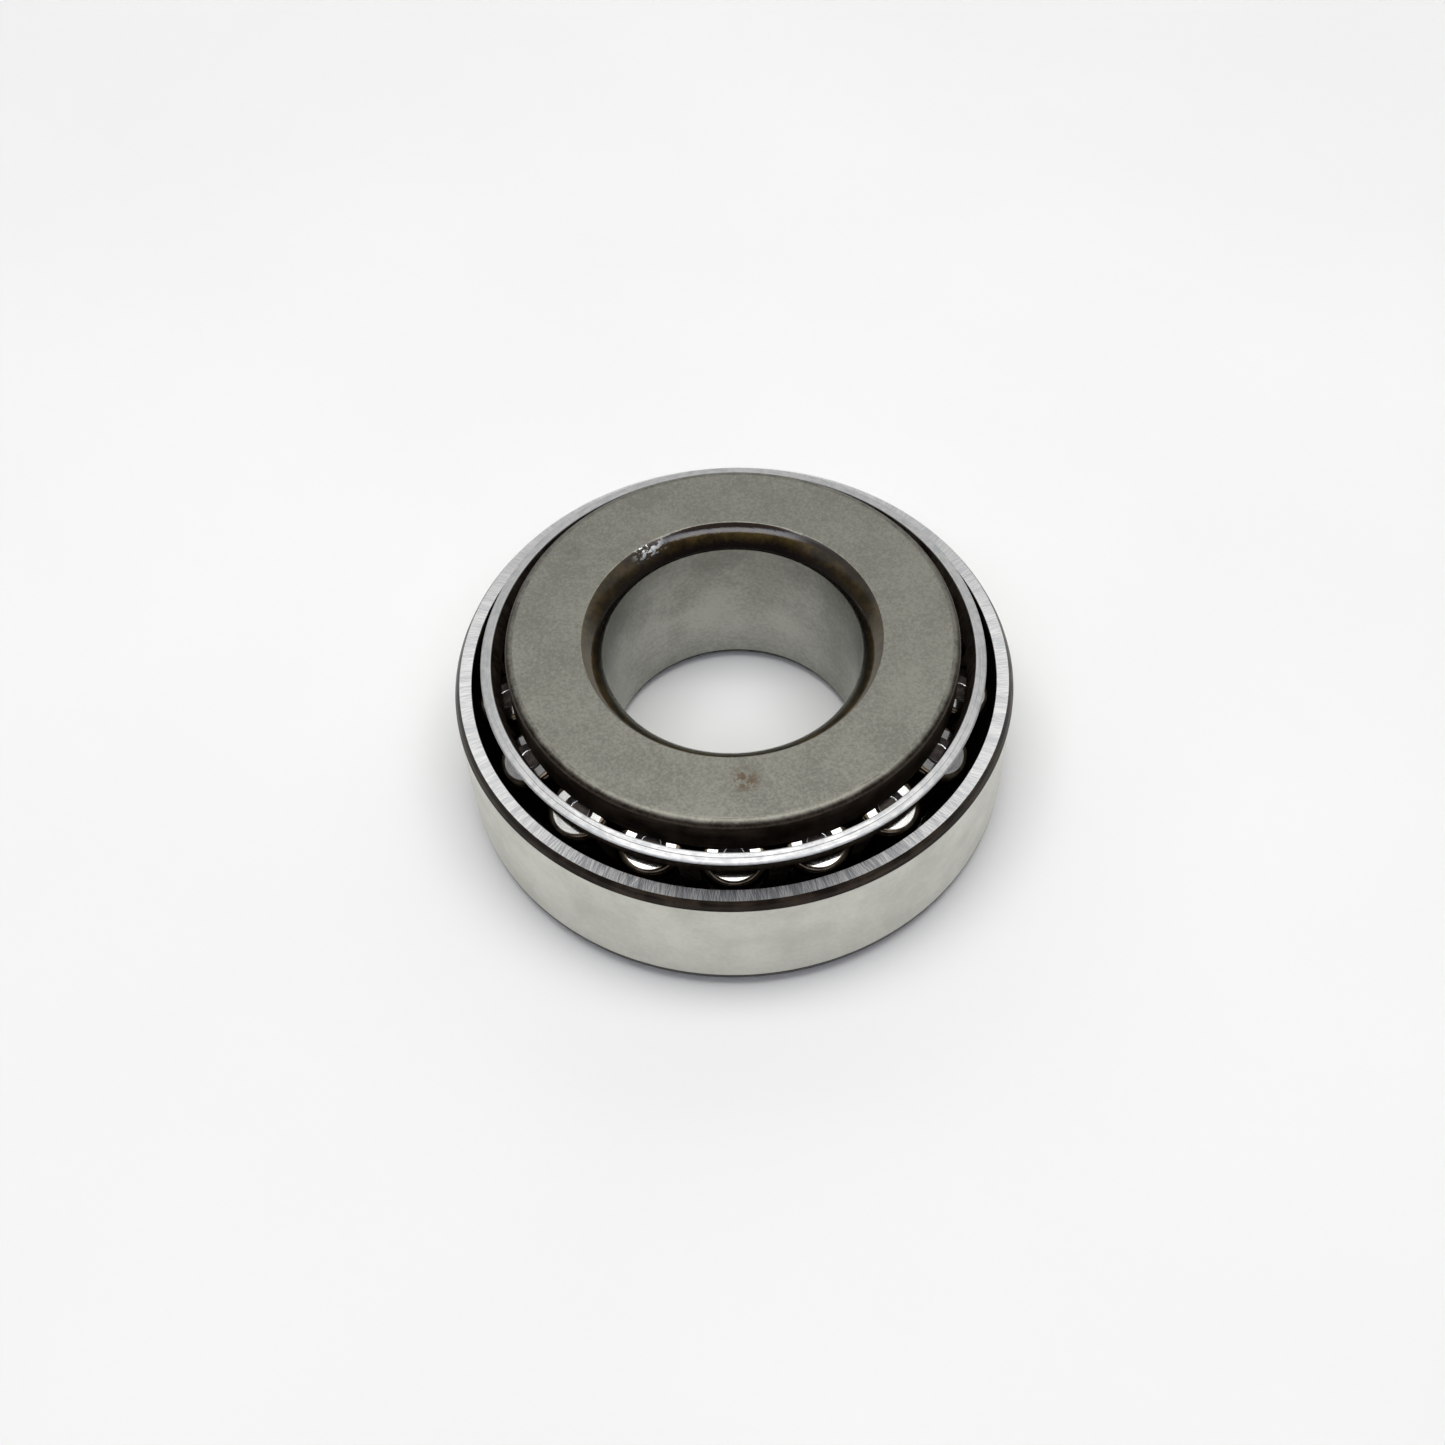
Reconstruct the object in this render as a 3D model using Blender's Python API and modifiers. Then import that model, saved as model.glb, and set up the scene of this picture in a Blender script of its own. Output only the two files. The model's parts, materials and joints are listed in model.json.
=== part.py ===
"""Single-row tapered roller bearing: cup, cone, pressed-steel cage and a ring of tapered rollers.

Metres, +Z up along the bearing's axis. The origin is the centre of the cup's back face, so the bearing
stands on the cup. The cone's back face is on top. Outlines are (radius, height) points in millimetres.
Race lines are worked out from the rollers, whose cones and both races meet in one apex on the axis.
"""
import math

import bmesh
import bpy
from mathutils import Matrix, Vector

MM = 0.001

# Boundary sizes
OUTSIDE_RADIUS = 41.275
BORE_RADIUS = 19.05
BEARING_HEIGHT = 29.37
CONE_HEIGHT = 28.575
CUP_HEIGHT = 22.2

# Rollers
ROLLER_COUNT = 18
FIRST_ROLLER_AZIMUTH = -90.0
ROLLER_LEAN = math.radians(17.5)
LARGE_END_RADIUS = 4.95
LARGE_END_PITCH_RADIUS = 33.6
LARGE_END_HEIGHT = 22.95
ROLLER_LENGTH = 19.2
ROLLER_CORNER = 1.0
DIMPLE_RADIUS = 2.27
DIMPLE_FLOOR_RADIUS = 1.45
DIMPLE_DEPTH = 0.62

# Running clearances
RACE_CLEARANCE = 0.06
RIB_CLEARANCE = 0.22
SMALL_RIB_CLEARANCE = 0.45
POCKET_CLEARANCE = 0.25

# Corners
CUP_BACK_FILLET = 2.95
CUP_FRONT_CHAMFER_WIDTH = 0.82
CUP_FRONT_CHAMFER_HEIGHT = 1.48
CUP_FRONT_RACE_CHAMFER = 0.1
CUP_BACK_RACE_CHAMFER = 0.5
BORE_CORNER_WIDTH = 2.9
BORE_CORNER_HEIGHT = 3.15
BORE_CORNER_BULGE = 0.22
CONE_FRONT_CHAMFER = 0.9
RIB_CORNER = 0.75

# Cone ribs
RIB_RADIUS = 33.0
SMALL_RIB_RADIUS = 24.9
SMALL_RIB_CORNER = 0.7
UNDERCUT = 0.45
UNDERCUT_LENGTH = 0.9

# Cage
SHEET = 1.75
SHEET_OFFSET = 0.62
LIP_LENGTH = 3.72
TAIL_LENGTH = 1.6
TAIL_FLANGE_RADIUS = 25.9
FLANGE_THICKNESS = 1.05
FOOT_BEND = 0.525

# Facets
RING_STEPS = 96
CAGE_STEPS = 6 * ROLLER_COUNT
ROLLER_SIDES = 32
FILLET_STEPS = 5
CORNER_STEPS = 3
BULGE_STEPS = 4
BEVEL_ANGLE = math.radians(40)

# Unit vectors in the (radius, height) plane: along a roller to its large end, and outward across it
ALONG = Vector((math.sin(ROLLER_LEAN), math.cos(ROLLER_LEAN)))
ACROSS = Vector((math.cos(ROLLER_LEAN), -math.sin(ROLLER_LEAN)))
LARGE_END = Vector((LARGE_END_PITCH_RADIUS, LARGE_END_HEIGHT))
APEX_DISTANCE = LARGE_END_PITCH_RADIUS / math.sin(ROLLER_LEAN)
ROLLER_SLOPE = LARGE_END_RADIUS / APEX_DISTANCE
SMALL_END_RADIUS = LARGE_END_RADIUS - ROLLER_LENGTH * ROLLER_SLOPE


def roller_point(along, across):
    """A point of the section, measured from the centre of a roller's large end."""
    return LARGE_END + along * ALONG + across * ACROSS


def roller_radius(along):
    """The roller's radius at a distance along its axis, which is 0 at the large end."""
    return LARGE_END_RADIUS + along * ROLLER_SLOPE


def race_point(along, side):
    """A point of a race: side is 1 on the cup and -1 on the cone."""
    return roller_point(along, side * (roller_radius(along) + RACE_CLEARANCE))


def race_radius(height, side):
    """The radius of a race line at a height."""
    low, high = race_point(-ROLLER_LENGTH, side), race_point(0.0, side)
    share = (height - low.y) / (high.y - low.y)
    return low.x + share * (high.x - low.x)


def arc(centre, radius, start, end, steps):
    """Points of an arc, from one angle in degrees to another."""
    points = []
    for step in range(steps + 1):
        angle = math.radians(start + (end - start) * step / steps)
        points.append((centre[0] + radius * math.cos(angle), centre[1] + radius * math.sin(angle)))
    return points


def bulged_chamfer(start, end, bulge, steps):
    """Points from start to end along a flat arc that bulges to the left of that direction."""
    start, end = Vector(start), Vector(end)
    chord = end - start
    left = Vector((-chord.y, chord.x)).normalized()
    shares = [step / steps for step in range(steps + 1)]
    return [tuple(start + share * chord + 4 * share * (1 - share) * bulge * left) for share in shares]


def steel(name, colour, roughness):
    """A plain steel material."""
    material = bpy.data.materials.new(name)
    material.use_nodes = True
    shader = material.node_tree.nodes["Principled BSDF"]
    shader.inputs["Base Color"].default_value = (*colour, 1.0)
    shader.inputs["Metallic"].default_value = 1.0
    shader.inputs["Roughness"].default_value = roughness
    return material


def add_object(name, mesh, collection, material=None):
    """Put a mesh into the scene as an object."""
    body = bpy.data.objects.new(name, mesh)
    collection.objects.link(body)
    if material:
        mesh.materials.append(material)
    return body


def turn(name, outline, steps, collection, material):
    """Turn a closed outline about Z. It runs down the outer side and back up the inner side."""
    mesh = bpy.data.meshes.new(name)
    points = [(radius * MM, 0.0, height * MM) for radius, height in outline]
    edges = [(index, (index + 1) % len(points)) for index in range(len(points))]
    mesh.from_pydata(points, edges, [])
    body = add_object(name, mesh, collection, material)
    screw = body.modifiers.new("turned", "SCREW")
    screw.steps = steps
    screw.render_steps = steps
    screw.use_merge_vertices = True
    screw.merge_threshold = 0.000001
    screw.use_smooth_shade = False
    return body


def cup_outline():
    """Section of the cup, from the outer edge of its front face."""
    race_top = CUP_HEIGHT - CUP_FRONT_RACE_CHAMFER
    front_race = race_radius(race_top, 1)
    back_race = race_radius(CUP_BACK_RACE_CHAMFER, 1)
    outline = [(OUTSIDE_RADIUS - CUP_FRONT_CHAMFER_WIDTH, CUP_HEIGHT),
               (OUTSIDE_RADIUS, CUP_HEIGHT - CUP_FRONT_CHAMFER_HEIGHT)]
    fillet_centre = (OUTSIDE_RADIUS - CUP_BACK_FILLET, CUP_BACK_FILLET)
    outline += arc(fillet_centre, CUP_BACK_FILLET, 0, -90, FILLET_STEPS)
    outline += [(back_race + CUP_BACK_RACE_CHAMFER, 0.0), (back_race, CUP_BACK_RACE_CHAMFER)]
    outline += [(front_race, race_top), (front_race + CUP_FRONT_RACE_CHAMFER, CUP_HEIGHT)]
    return outline


def cone_outline():
    """Section of the cone: back face, large rib, race between two undercuts, small rib, front face, bore."""
    front = BEARING_HEIGHT - CONE_HEIGHT
    rib_low = roller_point(RIB_CLEARANCE, 0.0)
    rib_foot = rib_low - ACROSS * ((rib_low.x - RIB_RADIUS) / ACROSS.x)
    large_root = roller_point(RIB_CLEARANCE, -LARGE_END_RADIUS - UNDERCUT)
    race_high = race_point(-UNDERCUT_LENGTH, -1)
    race_low = race_point(UNDERCUT_LENGTH - ROLLER_LENGTH, -1)
    small_root = roller_point(-ROLLER_LENGTH - SMALL_RIB_CLEARANCE, -SMALL_END_RADIUS - UNDERCUT)
    small_rib = small_root + ACROSS * ((SMALL_RIB_RADIUS - small_root.x) / ACROSS.x)

    corner_centre = (RIB_RADIUS - RIB_CORNER, BEARING_HEIGHT - RIB_CORNER)
    outline = arc(corner_centre, RIB_CORNER, 90, 0, CORNER_STEPS)
    outline += [tuple(rib_foot), tuple(large_root), tuple(race_high)]
    outline += [tuple(race_low), tuple(small_root), tuple(small_rib)]
    outline += [(SMALL_RIB_RADIUS, front + SMALL_RIB_CORNER), (SMALL_RIB_RADIUS - SMALL_RIB_CORNER, front)]
    outline += [(BORE_RADIUS + CONE_FRONT_CHAMFER, front), (BORE_RADIUS, front + CONE_FRONT_CHAMFER)]
    corner_low = (BORE_RADIUS, BEARING_HEIGHT - BORE_CORNER_HEIGHT)
    corner_high = (BORE_RADIUS + BORE_CORNER_WIDTH, BEARING_HEIGHT)
    outline += bulged_chamfer(corner_low, corner_high, BORE_CORNER_BULGE, BULGE_STEPS)
    return outline


def cage_outline():
    """Section of the cage sheet: the lip's cut edge, the conical wall and the flange at its foot."""
    outer, inner = SHEET_OFFSET + SHEET, SHEET_OFFSET
    foot = -ROLLER_LENGTH - TAIL_LENGTH
    flange_low = roller_point(foot, 0.0)
    flange_low = flange_low - ACROSS * ((flange_low.x - TAIL_FLANGE_RADIUS) / ACROSS.x)
    flange_high = flange_low + FLANGE_THICKNESS * ALONG
    outline = [tuple(roller_point(LIP_LENGTH, outer)), tuple(roller_point(foot + SHEET, outer))]
    outline += [tuple(roller_point(foot + FOOT_BEND, outer - FOOT_BEND)), tuple(roller_point(foot, inner))]
    outline += [tuple(flange_low), tuple(flange_high)]
    outline += [tuple(roller_point(foot + FLANGE_THICKNESS, inner)), tuple(roller_point(LIP_LENGTH, inner))]
    return outline


def seat(azimuth):
    """Frame of a roller's large end: Z along the roller, X outward across it, for one azimuth."""
    tilt = Matrix.Rotation(ROLLER_LEAN, 4, "Y")
    place = Matrix.Translation((LARGE_END_PITCH_RADIUS * MM, 0.0, LARGE_END_HEIGHT * MM))
    return Matrix.Rotation(azimuth, 4, "Z") @ place @ tilt


def roller_azimuths():
    """The azimuth of each roller."""
    first = math.radians(FIRST_ROLLER_AZIMUTH)
    return [first + 2.0 * math.pi * index / ROLLER_COUNT for index in range(ROLLER_COUNT)]


def tapered_plug(grow, low, high):
    """A closed cone along Z between two distances from a roller's large end, grown by a clearance."""
    shape = bmesh.new()
    middle = Matrix.Translation((0.0, 0.0, (low + high) / 2 * MM))
    bmesh.ops.create_cone(shape, cap_ends=True, segments=ROLLER_SIDES,
                          radius1=(roller_radius(low) + grow) * MM,
                          radius2=(roller_radius(high) + grow) * MM,
                          depth=(high - low) * MM, matrix=middle)
    return shape


def store(name, shape):
    """Turn a bmesh into a mesh."""
    mesh = bpy.data.meshes.new(name)
    shape.to_mesh(mesh)
    shape.free()
    return mesh


def press_dimple(shape):
    """Press the shallow dimple into the middle of a roller's large end."""
    end = max(shape.faces, key=lambda face: face.calc_center_median().z)
    bmesh.ops.inset_region(shape, faces=[end], thickness=(LARGE_END_RADIUS - DIMPLE_RADIUS) * MM)
    bmesh.ops.inset_region(shape, faces=[end], thickness=(DIMPLE_RADIUS - DIMPLE_FLOOR_RADIUS) * MM,
                           depth=-DIMPLE_DEPTH * MM)


def build_rollers(collection, material):
    """The rollers share one mesh, and each has its origin on its own axis."""
    shape = tapered_plug(0.0, -ROLLER_LENGTH, 0.0)
    press_dimple(shape)
    mesh = store("roller", shape)
    mesh.materials.append(material)
    for index, azimuth in enumerate(roller_azimuths()):
        roller = add_object(f"roller_{index + 1:02d}", mesh, collection)
        roller.matrix_world = seat(azimuth)
        bevel = roller.modifiers.new("chamfer", "BEVEL")
        bevel.width = ROLLER_CORNER * MM
        bevel.segments = 1
        bevel.limit_method = "ANGLE"
        bevel.angle_limit = BEVEL_ANGLE


def build_pocket_cutters(collection):
    """One grown roller for each pocket, which cuts a window with a clearance all round."""
    shape = tapered_plug(POCKET_CLEARANCE, -ROLLER_LENGTH - POCKET_CLEARANCE, POCKET_CLEARANCE / 2)
    mesh = store("pocket", shape)
    for azimuth in roller_azimuths():
        add_object("pocket_cutter", mesh, collection).matrix_world = seat(azimuth)


def cut_pockets(cage, pockets):
    """Cut every pocket out of the cage. The cutters show as wires only."""
    boolean = cage.modifiers.new("windows", "BOOLEAN")
    boolean.operation = "DIFFERENCE"
    boolean.operand_type = "COLLECTION"
    boolean.collection = pockets
    boolean.solver = "EXACT"
    for cutter in pockets.objects:
        cutter.hide_render = True
        cutter.display_type = "WIRE"


def new_collection(name):
    """A collection in the scene."""
    collection = bpy.data.collections.new(name)
    bpy.context.scene.collection.children.link(collection)
    return collection


def main():
    for old in list(bpy.data.objects):
        bpy.data.objects.remove(old, do_unlink=True)
    bearing = new_collection("tapered_roller_bearing")
    pockets = new_collection("pocket_cutters")

    turn("outer_ring", cup_outline(), RING_STEPS, bearing, steel("cup_steel", (0.62, 0.62, 0.60), 0.35))
    turn("inner_ring", cone_outline(), RING_STEPS, bearing, steel("cone_steel", (0.42, 0.41, 0.39), 0.45))
    cage = turn("cage", cage_outline(), CAGE_STEPS, bearing, steel("cage_steel", (0.66, 0.66, 0.65), 0.3))
    build_rollers(bearing, steel("roller_steel", (0.72, 0.72, 0.72), 0.2))

    build_pocket_cutters(pockets)
    cut_pockets(cage, pockets)


main()
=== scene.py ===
"""Looks of the tapered roller bearing: turned rings, a pressed cage and ground rollers.

Every piece is built in the frame's own place, rides on the body of the CAD node that it
replaces, and has its own procedural steel. Lengths are in millimetres here and become metres
when a mesh is made. +Z runs up the bearing's axis, from the cone's front face to its back face.
"""
import json
import math

import bmesh
import bpy
from mathutils import Matrix, Vector

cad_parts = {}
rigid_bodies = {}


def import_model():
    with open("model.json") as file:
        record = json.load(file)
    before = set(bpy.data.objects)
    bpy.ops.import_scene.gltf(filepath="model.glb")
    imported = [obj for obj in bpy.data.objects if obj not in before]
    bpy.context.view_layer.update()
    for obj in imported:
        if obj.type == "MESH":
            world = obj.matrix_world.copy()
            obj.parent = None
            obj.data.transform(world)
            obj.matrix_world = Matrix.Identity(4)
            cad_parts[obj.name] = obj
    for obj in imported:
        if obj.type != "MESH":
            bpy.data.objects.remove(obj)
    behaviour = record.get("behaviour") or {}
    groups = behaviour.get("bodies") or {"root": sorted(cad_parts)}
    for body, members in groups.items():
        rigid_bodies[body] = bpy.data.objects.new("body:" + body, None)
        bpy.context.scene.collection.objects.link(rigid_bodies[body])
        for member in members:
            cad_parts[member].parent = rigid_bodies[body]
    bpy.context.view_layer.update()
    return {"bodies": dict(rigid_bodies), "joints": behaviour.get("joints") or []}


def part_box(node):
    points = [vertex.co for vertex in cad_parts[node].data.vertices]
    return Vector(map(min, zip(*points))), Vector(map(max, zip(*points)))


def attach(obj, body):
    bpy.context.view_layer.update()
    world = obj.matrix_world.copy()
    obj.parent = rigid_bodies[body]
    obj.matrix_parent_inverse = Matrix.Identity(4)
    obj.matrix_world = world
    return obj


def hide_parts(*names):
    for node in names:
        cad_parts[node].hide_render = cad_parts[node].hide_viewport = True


MM = 0.001

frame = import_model()

# ---------------------------------------------------------------- sizes, read from the frame
cup_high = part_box("outer_ring")[1]
cone_low, cone_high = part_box("inner_ring")
OUTSIDE_RADIUS = cup_high.x / MM
CUP_HEIGHT = cup_high.z / MM
RIB_RADIUS = cone_high.x / MM
CONE_FRONT = cone_low.z / MM
BEARING_HEIGHT = cone_high.z / MM

spins = {joint["child"]: joint for joint in frame["joints"]}
ROLLERS = sorted(body for body in frame["bodies"] if body.startswith("roller_"))
ROLLER_AXIS = Vector(spins["roller_01"]["axis"])
ROLLER_SEAT = Vector(spins["roller_01"]["pos_m"]) / MM
ROLLER_LEAN = math.acos(ROLLER_AXIS.z)

# In the section (radius, height): the way along a roller's axis, the way across it, away from
# the bearing's axis, and the centre of the roller's large end.
ALONG = Vector((math.sin(ROLLER_LEAN), math.cos(ROLLER_LEAN)))
ACROSS = Vector((math.cos(ROLLER_LEAN), -math.sin(ROLLER_LEAN)))
LARGE_END = Vector((ROLLER_SEAT.xy.length, ROLLER_SEAT.z))

# ---------------------------------------------------------------- sizes that the frame doesn't give
# They are the CAD model's own, apart from three: a roller's corners are 1.0 in the CAD model,
# and its clearance is 0.06 to the races and 0.22 to the rib.
BORE_RADIUS = 19.05
LARGE_END_RADIUS = 4.95
ROLLER_LENGTH = 19.2
ROLLER_CORNER = 1.3
DIMPLE_RADIUS = 2.27
DIMPLE_FLOOR_RADIUS = 1.45
DIMPLE_DEPTH = 0.62
ROLLER_SLOPE = LARGE_END_RADIUS * math.sin(ROLLER_LEAN) / LARGE_END.x
SMALL_END_RADIUS = LARGE_END_RADIUS - ROLLER_LENGTH * ROLLER_SLOPE

# The room that a roller has to the races, to the rib and to its window in the cage.
RACE_CLEARANCE = 0.05
RIB_CLEARANCE = 0.2
POCKET_CLEARANCE = 0.25

# The cage: sheet thickness, the inner side's distance from the rollers' axes, how far it
# reaches past their large and small ends, and the radius of the hole in its foot.
SHEET = 1.75
SHEET_OFFSET = 0.62
LIP_LENGTH = 3.72
TAIL_LENGTH = 1.6
TAIL_FLANGE_RADIUS = 25.9

RING_SEGMENTS = 288
CAGE_SEGMENTS = 12 * len(ROLLERS)
ROLLER_SEGMENTS = 96
CUTTER_SEGMENTS = 64
SHARP_ANGLE = math.radians(32)

# ---------------------------------------------------------------- marks, painted shade and painted highlights on the steel
# Fixed places on the pieces, where the photograph shows darker lines, rust, a smudge, bright
# glints and a dark rim. The rust and the smudge are stains; the darker lines and the dark rim
# are painted shade, and the glints are painted highlights.
SHADE_PAINTED_FRONT_OF_CUP = (0.0, -OUTSIDE_RADIUS, CUP_HEIGHT)
RUST_PRINT = (1.7, -25.7, BEARING_HEIGHT)
DARK_SMUDGE = (-23.9, 16.5, BEARING_HEIGHT)
PAINTED_GLINTS = (-12.7, 17.2, BEARING_HEIGHT - 0.6)
PAINTED_DARK_RIM = (2.0, BORE_RADIUS, BEARING_HEIGHT)


def section_point(along, across):
    """A point (radius, height) of the section, from the centre of a roller's large end."""
    return LARGE_END + along * ALONG + across * ACROSS


def race_point(along, side):
    """A point on a race: side is 1 on the cup and -1 on the cone."""
    reach = LARGE_END_RADIUS + along * ROLLER_SLOPE + RACE_CLEARANCE
    return section_point(along, side * reach)


def race_radius(height, side):
    """The radius of a race line at a height."""
    low, high = race_point(-ROLLER_LENGTH, side), race_point(0.0, side)
    return low.x + (height - low.y) / (high.y - low.y) * (high.x - low.x)


# ---------------------------------------------------------------- outlines
class Outline:
    """A closed outline for turning. Each stretch remembers its material, by number."""

    def __init__(self):
        self.points = []
        self.zones = []

    def add(self, point, zone):
        """Add a point; the stretch from it to the next point gets the zone."""
        self.points.append(Vector(point))
        self.zones.append(zone)

    def arc(self, centre, radius, start, end, zone, steps=8):
        """Add an arc, from one angle in degrees to another."""
        for step in range(steps + 1):
            angle = math.radians(start + (end - start) * step / steps)
            offset = Vector((math.cos(angle), math.sin(angle))) * radius
            self.add(Vector(centre) + offset, zone)

    def bulge(self, start, end, height, zone, steps=8):
        """Add a flat arc that bulges to the left of the way from start to end."""
        start, end = Vector(start), Vector(end)
        chord = end - start
        left = Vector((-chord.y, chord.x)).normalized()
        for step in range(steps + 1):
            share = step / steps
            self.add(start + share * chord + 4 * share * (1 - share) * height * left, zone)

    def held(self, margin=0.07, least=0.5):
        """The outline with extra points close to both ends of each long stretch.

        They keep its shading flat. A stretch that lies on the axis gets none.
        """
        points, zones = [], []
        for index, (point, zone) in enumerate(zip(self.points, self.zones)):
            after = self.points[(index + 1) % len(self.points)]
            way = after - point
            points.append(point)
            zones.append(zone)
            if way.length > least and max(point.x, after.x) > 0.0:
                step = way.normalized() * margin
                points += [point + step, after - step]
                zones += [zone, zone]
        return points, zones


def lathe(name, outline, segments, materials, matrix=None):
    """Turn an outline about Z into a closed, smooth-shaded mesh object.

    A point on the axis becomes a single vertex, and the faces that meet there become triangles.
    """
    points, zones = outline.held()
    shape = bmesh.new()
    poles = {point.y: shape.verts.new((0.0, 0.0, point.y * MM))
             for point in points if point.x == 0.0}
    rings = []
    for index in range(segments):
        angle = 2.0 * math.pi * index / segments
        cosine, sine = math.cos(angle), math.sin(angle)
        ring = []
        for point in points:
            if point.x == 0.0:
                ring.append(poles[point.y])
            else:
                radius = point.x * MM
                ring.append(shape.verts.new((radius * cosine, radius * sine, point.y * MM)))
        rings.append(ring)
    count = len(points)
    for index, ring in enumerate(rings):
        following = rings[(index + 1) % segments]
        for low in range(count):
            high = (low + 1) % count
            corners = dict.fromkeys((ring[low], ring[high], following[high], following[low]))
            if len(corners) < 3:
                continue
            face = shape.faces.new(list(corners))
            face.material_index = zones[low]
            face.smooth = True
    bmesh.ops.recalc_face_normals(shape, faces=shape.faces)
    return finished(name, shape, materials, matrix)


def finished(name, shape, materials, matrix=None):
    """Turn a bmesh into an object with its materials and sharp edges."""
    mesh = bpy.data.meshes.new(name)
    shape.to_mesh(mesh)
    shape.free()
    for material in materials:
        mesh.materials.append(material)
    mesh.set_sharp_from_angle(angle=SHARP_ANGLE)
    piece = bpy.data.objects.new(name, mesh)
    bpy.context.scene.collection.objects.link(piece)
    if matrix is not None:
        piece.matrix_world = matrix
    return piece


# ---------------------------------------------------------------- material nodes
class Nodes:
    """Adds shader nodes to a tree."""

    def __init__(self, tree):
        self.tree = tree

    def node(self, kind, inputs=(), **settings):
        """Add a node; inputs are (name or number, value or output) pairs."""
        made = self.tree.nodes.new(kind)
        for key, value in settings.items():
            setattr(made, key, value)
        for key, value in inputs:
            if isinstance(value, bpy.types.NodeSocket):
                self.tree.links.new(value, made.inputs[key])
            else:
                made.inputs[key].default_value = value
        return made

    def maths(self, operation, first, second=0.0):
        """One Math node."""
        inputs = [(0, first), (1, second)]
        return self.node("ShaderNodeMath", inputs, operation=operation).outputs[0]

    def times(self, first, second):
        """The product of two values."""
        return self.maths("MULTIPLY", first, second)

    def weigh(self, *terms):
        """The sum of values times their weights, from (value, weight) pairs."""
        total = self.times(*terms[-1])
        for value, weight in reversed(terms[:-1]):
            total = self.maths("ADD", self.times(value, weight), total)
        return total

    def ramp(self, value, low, high, start=0.0, end=1.0):
        """Remap a value from low..high to start..end, smoothly, and held at both ends."""
        inputs = [("Value", value), ("From Min", low), ("From Max", high),
                  ("To Min", start), ("To Max", end)]
        made = self.node("ShaderNodeMapRange", inputs, interpolation_type="SMOOTHSTEP")
        return made.outputs["Result"]

    def blend(self, share, first, second):
        """Mix two colours, each a tuple or an output. 6, 7 and 2 are the node's colour sockets."""
        inputs = [(0, share)]
        for socket, value in ((6, first), (7, second)):
            inputs.append((socket, (*value, 1.0) if isinstance(value, tuple) else value))
        return self.node("ShaderNodeMix", inputs, data_type="RGBA").outputs[2]


class Look(Nodes):
    """Builds one Principled material out of procedural nodes.

    The plain colour and roughness hold until nodes are fed to those sockets.
    """

    def __init__(self, name, colour, roughness, metallic=1.0):
        self.material = bpy.data.materials.new(name)
        self.material.use_nodes = True
        super().__init__(self.material.node_tree)
        self.shader = self.tree.nodes["Principled BSDF"]
        self.set("Base Color", (*colour, 1.0))
        self.set("Roughness", roughness)
        self.set("Metallic", metallic)
        self.place = self.node("ShaderNodeTexCoord").outputs["Object"]

    def set(self, socket, value):
        """Set a constant on the shader."""
        self.shader.inputs[socket].default_value = value

    def feed(self, socket, output):
        """Drive a shader input."""
        self.tree.links.new(output, self.shader.inputs[socket])

    def paint(self, value, low, high, dark, light):
        """Colour the surface from dark to light as a value goes from low to high."""
        self.feed("Base Color", self.blend(self.ramp(value, low, high), dark, light))

    def polar(self):
        """Radius and height in millimetres, and the cosine and sine of the angle about Z."""
        x, y, z = self.node("ShaderNodeSeparateXYZ", [(0, self.place)]).outputs
        radius = self.maths("SQRT", self.weigh((x, x), (y, y)))
        safe = self.maths("MAXIMUM", radius, 0.00001)
        return (self.times(radius, 1.0 / MM), self.times(z, 1.0 / MM),
                self.maths("DIVIDE", x, safe), self.maths("DIVIDE", y, safe))

    def ring_space(self, around, radial, axial, skew=0.0):
        """Coordinates for noise that closes on itself round the axis.

        A turn round the axis is a circle of radius around; radial and axial are units for each
        millimetre of radius and of height; skew is radians of turn for each millimetre of radius.
        """
        radius, height, cosine, sine = self.polar()
        inputs = [(0, self.times(cosine, around)), (1, self.times(sine, around)),
                  (2, self.weigh((radius, radial), (height, axial)))]
        flat = self.node("ShaderNodeCombineXYZ", inputs).outputs[0]
        if not skew:
            return flat
        inputs = [("Vector", flat), ("Angle", self.times(radius, skew))]
        return self.node("ShaderNodeVectorRotate", inputs, rotation_type="Z_AXIS").outputs[0]

    def noise(self, space, scale, detail=3.0, roughness=0.55):
        """Noise from 0 to 1, centred on a half."""
        inputs = [("Vector", space), ("Scale", scale), ("Detail", detail), ("Roughness", roughness)]
        return self.node("ShaderNodeTexNoise", inputs).outputs[0]

    def spot(self, centre, radius, edge):
        """1 inside a round spot at a place in millimetres, fading to 0 across the edge."""
        inputs = [(0, self.place), (1, Vector(centre) * MM)]
        distance = self.node("ShaderNodeVectorMath", inputs, operation="DISTANCE").outputs["Value"]
        return self.ramp(distance, (radius + edge) * MM, max(radius - edge, 0.0) * MM)

    def bump(self, height, strength, distance, normal=None):
        """A bump node; distance is the height of the relief in millimetres."""
        inputs = [("Strength", strength), ("Distance", distance * MM), ("Height", height)]
        if normal is not None:
            inputs.append(("Normal", normal))
        return self.node("ShaderNodeBump", inputs).outputs[0]

    def brushed(self, amount, rotation):
        """Stretch the gloss one way, with a rotation in turns from the circle round Z."""
        self.set("Anisotropic", amount)
        self.set("Anisotropic Rotation", rotation)
        tangent = self.node("ShaderNodeTangent", direction_type="RADIAL", axis="Z")
        self.feed("Tangent", tangent.outputs[0])


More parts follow.
